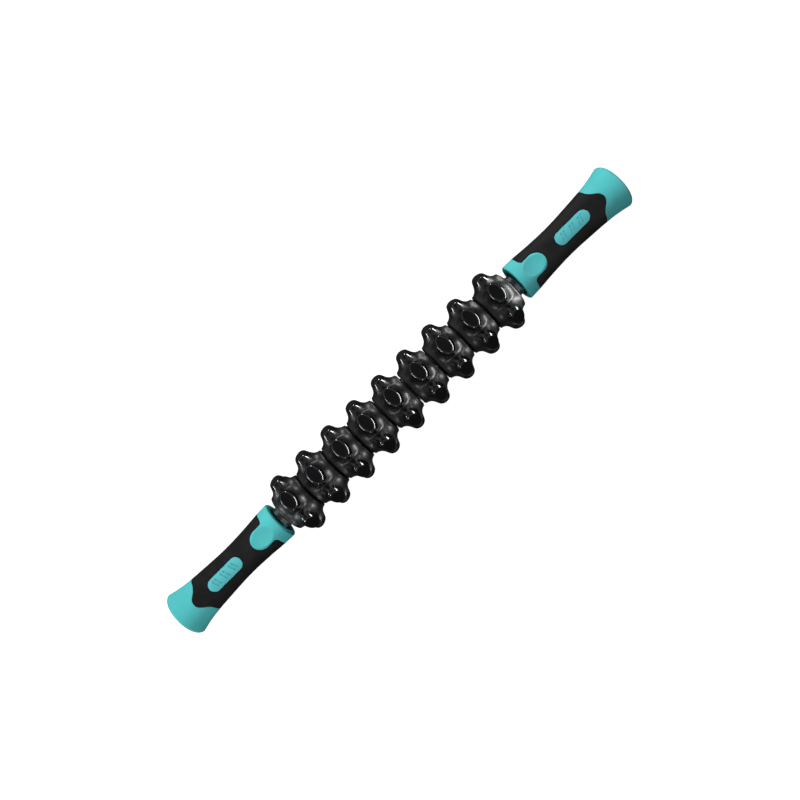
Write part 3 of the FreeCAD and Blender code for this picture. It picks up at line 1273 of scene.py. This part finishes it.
    def stroke_bar(self, x: float) -> bpy.types.Object:
        """Block of one slanted stroke.

        Args:
            x: The stroke's middle along the tube.

        Returns:
            The block, at the front only.
        """
        slant, stroke, height = self.mark_slant, self.mark_half_stroke, self.mark_half_height
        corners = (
            (x - slant - stroke, -height, 0, 0),
            (x - slant + stroke, -height, 0, 0),
            (x + slant + stroke, height, 0, 0),
            (x + slant - stroke, height, 0, 0),
        )
        return bar_from_curve("stroke", corners, self.front_from, self.outside)

    def make_badge(self) -> bpy.types.Object:
        """Models the inlay: a plain domed face with three pairs of slanted strokes sunk into it.

        Returns:
            The right-hand badge.
        """
        start = self.badge_x - self.badge_half_length - self.badge_overrun
        end = self.badge_x + self.badge_half_length + self.badge_overrun
        badge = self.skin("badge_right", self.badge_proud, -self.grip_thickness, start, end)
        carve(badge, self.badge_tool(-self.seam), Carving.KEEP_COMMON)
        marks = self.skin("badge_marks", self.mark_overcut, self.badge_proud - self.mark_depth, start, end)
        first_x = self.badge_x - (self.mark_count - 1) / 2 * self.mark_spacing
        bars = [
            self.stroke_bar(first_x + number * self.mark_spacing + side * self.mark_gap)
            for number in range(self.mark_count)
            for side in (-1, 1)
        ]
        strokes = bars[0]
        for bar in bars[1:]:
            carve(strokes, bar, Carving.JOIN)
        carve(marks, strokes, Carving.KEEP_COMMON)
        carve(badge, marks, Carving.CUT)
        return badge

    def make_cap(self) -> bpy.types.Object:
        """Models the end cap with a soft edge and one shallow ring in its face.

        Returns:
            The right-hand cap.
        """
        low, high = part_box("end_cap_right")
        radius = self.cap_radius - self.cap_clearance
        flange_x = high.x - self.cap_pocket
        edge = round_corner((high.x - self.cap_round, radius - self.cap_round), self.cap_round, 90, 0, 4)
        ring_radius = self.cap_ring_share * radius
        ring_x = high.x - self.cap_ring_depth
        outline = (
            [(low.x, self.spigot_bore), (low.x, self.spigot_radius), (flange_x, self.spigot_radius)]
            + [(flange_x, radius)]
            + edge
            + [(high.x, ring_radius + self.cap_ring_half_top)]
            + [(ring_x, ring_radius + self.cap_ring_half_floor)]
            + [(ring_x, ring_radius - self.cap_ring_half_floor)]
            + [(high.x, ring_radius - self.cap_ring_half_top)]
            + [(high.x, self.cap_face_share * radius)]
            + [(high.x, self.pole_radius), (flange_x, self.pole_radius), (flange_x, self.spigot_bore)]
        )
        return lathe("cap_right", outline, self.segments)

    def build(self) -> None:
        """Models the right-hand pieces, mirrors them and sets both in the frame."""
        plan = (
            (self.make_core(), "handle_core", "teal_plastic", 32.0),
            (self.make_grip(), "handle_grip", "grip_rubber", 32.0),
            (self.make_badge(), "handle_badge", "badge_teal", 28.0),
            (self.make_cap(), "end_cap", "teal_plastic", 30.0),
        )
        for piece, node, slot, angle in plan:
            tidy_mesh(piece)
            turn_about_x(piece, self.turn)
            self.finishes.dress(piece, slot)
            other = mirrored_copy(piece, piece.name.replace(Side.RIGHT.word, Side.LEFT.word))
            for made, side in ((piece, Side.RIGHT), (other, Side.LEFT)):
                smooth(made, angle)
                set_in_frame(made, "stick", f"{node}_{side.word}")


# ---- neck and hidden metal -----------------------------------------------------------------------


@dataclass
class NeckCollars:
    """Stepped bright collars between the rollers and the handles."""

    finishes: FinishShelf
    segments: int = 96
    bore_radius: float = 7.53 * MM
    groove_radius: float = 8.25 * MM
    ridge_radius: float = 8.9 * MM
    ridge_length: float = 1.5 * MM
    ridge_round: float = 0.4 * MM
    smooth_angle: float = 40.0

    def ridge(self, start: float) -> Profile:
        """One ridge of the outline with round edges.

        Args:
            start: Where the ridge begins.

        Returns:
            Its points from foot to foot.
        """
        centre = self.ridge_radius - self.ridge_round
        end = start + self.ridge_length
        return (
            [(start, self.groove_radius)]
            + round_corner((start + self.ridge_round, centre), self.ridge_round, 180, 90, 4)
            + round_corner((end - self.ridge_round, centre), self.ridge_round, 90, 0, 4)
            + [(end, self.groove_radius)]
        )

    def build(self) -> None:
        """Turns one collar, mirrors it and sets both in the frame."""
        low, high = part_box("neck_collar_right")
        mouth_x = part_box("handle_core_right")[0].x
        starts = (low.x, (low.x + mouth_x) / 2, mouth_x + self.ridge_length)
        outline: Profile = [(low.x, self.bore_radius)]
        for start in starts:
            outline += self.ridge(start)
        outline += [(high.x, self.groove_radius), (high.x, self.bore_radius)]
        right = lathe("collar_right", outline, self.segments)
        self.finishes.dress(right, "chrome_steel")
        left = mirrored_copy(right, "collar_left")
        for piece, side in ((right, Side.RIGHT), (left, Side.LEFT)):
            smooth(piece, self.smooth_angle)
            set_in_frame(piece, "stick", f"neck_collar_{side.word}")


@dataclass
class KeptNodes:
    """Pieces that keep their own node and take a finish."""

    finishes: FinishShelf
    slots: tuple[str, ...] = ("bearing_plastic", "chrome_steel", "zinc_steel")

    def build(self) -> None:
        """Gives each kept node the finish of its slot."""
        for row in frame["record"]["subparts"]:
            node = frame["nodes"][row["node"]]
            if row["material_slot"] in self.slots and not node.hide_render:
                self.finishes.dress(node, row["material_slot"])
                LOG.info("%s keeps its node, finish %s", row["node"], row["material_slot"])


# ---- studio --------------------------------------------------------------------------------------


@dataclass
class SoftBox:
    """One rectangular studio light that points at the stick."""

    name: str
    place: Triple
    width: float
    height: float
    watts: float
    soft_fill: bool = False

    def build(self) -> None:
        """Adds the light."""
        lamp = bpy.data.lights.new(self.name, "AREA")
        lamp.shape = "RECTANGLE"
        lamp.size = self.width
        lamp.size_y = self.height
        lamp.energy = self.watts
        holder = bpy.data.objects.new(self.name, lamp)
        bpy.context.scene.collection.objects.link(holder)
        aim = Vector(self.place).to_track_quat("Z", "Y")
        holder.matrix_world = Matrix.Translation(self.place) @ aim.to_matrix().to_4x4()
        holder.visible_glossy = not self.soft_fill
        holder.visible_diffuse = self.soft_fill


class Sky:
    """Small helper that shades the studio's air by direction."""

    def __init__(self, name: str, tint: Triple) -> None:
        """Starts an evenly lit world.

        Args:
            name: The world's name.
            tint: Colour of its light.
        """
        self.world = bpy.data.worlds.new(name)
        self.world.use_nodes = True
        self.nodes = self.world.node_tree.nodes
        self.links = self.world.node_tree.links
        self.air = self.nodes["Background"]
        self.air.inputs["Color"].default_value = (*tint, 1)
        self.direction = self.nodes.new("ShaderNodeTexCoord").outputs["Generated"]

    def towards(
        self, axis: Triple, start: float, end: float, low: float, high: float
    ) -> bpy.types.NodeSocket:
        """Brightness that changes smoothly with the angle from an axis.

        Args:
            axis: The axis, as a unit vector.
            start: Cosine at which the change starts.
            end: Cosine at which it ends.
            low: Value up to the start.
            high: Value from the end.

        Returns:
            The value socket.
        """
        product = self.nodes.new("ShaderNodeVectorMath")
        product.operation = "DOT_PRODUCT"
        product.inputs[1].default_value = axis
        self.links.new(self.direction, product.inputs[0])
        change = self.nodes.new("ShaderNodeMapRange")
        change.interpolation_type = "SMOOTHSTEP"
        for name, value in (("From Min", start), ("From Max", end), ("To Min", low), ("To Max", high)):
            change.inputs[name].default_value = value
        self.links.new(product.outputs["Value"], change.inputs["Value"])
        return change.outputs["Result"]

    def light_by(self, factors: Sequence[bpy.types.NodeSocket]) -> None:
        """Sets the air's brightness to the product of some factors.

        Args:
            factors: The value sockets.
        """
        level = factors[0]
        for factor in factors[1:]:
            product = self.nodes.new("ShaderNodeMath")
            product.operation = "MULTIPLY"
            self.links.new(level, product.inputs[0])
            self.links.new(factor, product.inputs[1])
            level = product.outputs["Value"]
        self.links.new(level, self.air.inputs["Strength"])


@dataclass
class Studio:
    """Pale floor, soft lights and the camera."""

    distance: float = 0.585
    lens: float = 35.6
    sensor: float = 36.0
    clip_start: float = 0.01
    lean: float = 13.4
    near_end_tilt: float = 1.2
    aim_x: float = 2.0 * MM
    aim_y: float = -0.15 * MM
    table_size: float = 6.0
    table_gap: float = 0.05 * MM
    table_dark: float = 0.24
    table_light: float = 0.26
    table_clouds: float = 3.0
    table_rough: float = 0.9
    table_glow: float = 0.97
    overhead_dim: float = 0.2
    front_glow: float = 0.22
    back_glow: float = 0.3
    below_dim: float = 0.15
    overhead_edge: tuple[float, float] = (0.70, 0.92)
    back_edge: tuple[float, float] = (-0.7, 0.9)
    below_edge: tuple[float, float] = (-0.25, 0.1)
    light_distance: float = 1.15
    light_height: float = 0.18

    def floor(self) -> None:
        """Adds the pale, faintly glowing table that the knobs stand on."""
        deselect_all()
        table_z = CAD_BOX[0][2] - self.table_gap
        bpy.ops.mesh.primitive_plane_add(size=self.table_size, location=(0, 0, table_z))
        plane = bpy.context.object
        plane.name = "studio_floor"
        bench = ShaderBench("studio_paper")
        clouds = bench.noise(bench.place, self.table_clouds)
        bench.tint(clouds, [self.table_dark] * 3, [self.table_light] * 3)
        bench.surface.inputs["Roughness"].default_value = self.table_rough
        bench.surface.inputs["Specular IOR Level"].default_value = 0.0
        bench.surface.inputs["Emission Color"].default_value = (1.0, 1.0, 1.0, 1.0)
        bench.surface.inputs["Emission Strength"].default_value = self.table_glow
        plane.data.materials.append(bench.material)
        plane.visible_diffuse = False
        plane.visible_glossy = False

    def surroundings(self) -> None:
        """Adds the soft dome: dark overhead, a bright belt round the sides, brightest at the back."""
        sky = Sky("studio_air", (0.97, 0.985, 1.0))
        lean = math.radians(self.lean)
        overhead_axis = (0, math.sin(lean), math.cos(lean))
        overhead = sky.towards(overhead_axis, *self.overhead_edge, 1.0, self.overhead_dim)
        back = sky.towards((0, 1, 0), *self.back_edge, self.front_glow, self.back_glow)
        below = sky.towards((0, 0, 1), *self.below_edge, self.below_dim, 1.0)
        sky.light_by((back, overhead, below))
        bpy.context.scene.world = sky.world

    def low_place(self, azimuth: float) -> Triple:
        """Place of a low light that stands around the stick.

        Args:
            azimuth: Its direction in degrees, from +X.

        Returns:
            The place.
        """
        turn = math.radians(azimuth)
        across, along = self.light_distance * math.sin(turn), self.light_distance * math.cos(turn)
        return along, across, self.light_height

    def lights(self) -> None:
        """Adds the soft key and fill, and the low strips and lamps that draw the knobs' rims."""
        fills = (
            SoftBox("key_light", place=(0.1, 0.9, 1.0), width=0.6, height=0.5, watts=19.5, soft_fill=True),
            SoftBox("left_fill", place=(-0.6, -0.5, 0.35), width=0.4, height=0.3, watts=2.8, soft_fill=True),
        )
        rim_lights = (
            SoftBox("right_strip", self.low_place(-19.0), width=1.4, height=0.2, watts=24.0),
            SoftBox("left_strip", self.low_place(168.0), width=0.5, height=0.12, watts=3.0),
            SoftBox("upper_lamp", self.low_place(59.0), width=0.12, height=0.12, watts=2.8),
            SoftBox("lower_lamp", self.low_place(219.0), width=0.1, height=0.1, watts=1.5),
        )
        for light in fills + rim_lights:
            light.build()

    def camera(self) -> None:
        """Adds the camera above the stick, leaning to the front, with the tube from corner to corner."""
        lean = math.radians(self.lean)
        tilt = math.radians(self.near_end_tilt)
        upright = Vector((0, -math.sin(lean), math.cos(lean)))
        along = Vector((1, 0, 0))
        towards = (math.cos(tilt) * upright + math.sin(tilt) * along).normalized()
        along = (along - along.dot(towards) * towards).normalized()
        across = towards.cross(along)
        right = (along - across).normalized()
        up = (along + across).normalized()
        eye = Vector((self.aim_x, self.aim_y, 0)) + self.distance * towards
        lens = bpy.data.cameras.new("studio_camera")
        lens.lens = self.lens
        lens.sensor_width = self.sensor
        lens.clip_start = self.clip_start
        holder = bpy.data.objects.new("studio_camera", lens)
        bpy.context.scene.collection.objects.link(holder)
        turn = Matrix((right, up, towards)).transposed().to_4x4()
        holder.matrix_world = Matrix.Translation(eye) @ turn
        bpy.context.scene.camera = holder

    def build(self) -> None:
        """Sets the whole studio."""
        self.floor()
        self.surroundings()
        self.lights()
        self.camera()
        bpy.context.scene.view_settings.view_transform = "Standard"


def main() -> None:
    """Builds the stick's pieces in order, then the studio, and logs each finished piece's face count and each
    kept node's finish.
    """
    logging.basicConfig(level=logging.INFO, format="%(name)s %(message)s")
    finishes = FinishShelf()
    RollerTyres(finishes).build()
    Handle(finishes).build()
    NeckCollars(finishes).build()
    KeptNodes(finishes).build()
    Studio().build()


if __name__ == "__main__":
    main()
